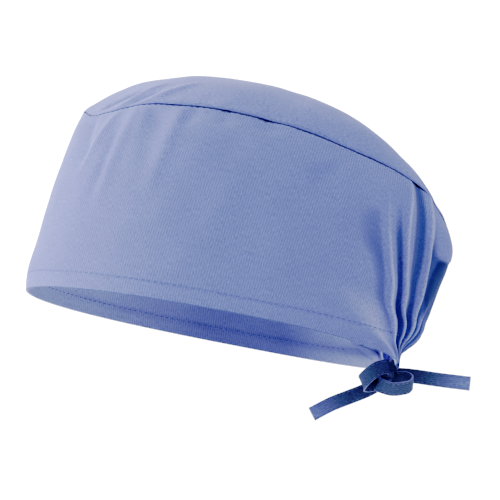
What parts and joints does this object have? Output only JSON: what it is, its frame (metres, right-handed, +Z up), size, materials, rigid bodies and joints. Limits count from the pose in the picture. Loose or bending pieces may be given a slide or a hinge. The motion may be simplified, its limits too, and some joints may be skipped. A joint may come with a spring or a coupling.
{
  "type": "scrub cap",
  "caption": "Tie-back cloth scrub cap in its worn shape: domed crown sewn to a deep band with a turned-in hem, gathered at the nape by flat ties in a small bow.",
  "frame": {"origin": "centre of the opening for the head, on the plane of the rim", "axes": "+X to the wearer's left, -Y to the forehead, +Y to the nape, +Z up; the rim's plane slopes 11 degrees down to the nape, as the cap is worn"},
  "size_m": [0.1628, 0.2468, 0.1923],
  "materials": {
    "crown_cloth": "poly-cotton twill, matt, slate blue",
    "band_cloth": "poly-cotton twill, matt, slate blue",
    "tie_tape": "folded and edge-stitched poly-cotton tape, matt, blue"
  },
  "bodies": {
    "root": {"crown_panel": "crown_cloth", "side_band": "band_cloth", "tie_left_loop": "tie_tape", "tie_right_loop": "tie_tape", "tie_left_tail": "tie_tape", "tie_right_tail": "tie_tape", "tie_knot": "tie_tape"}
  },
  "joints": []
}
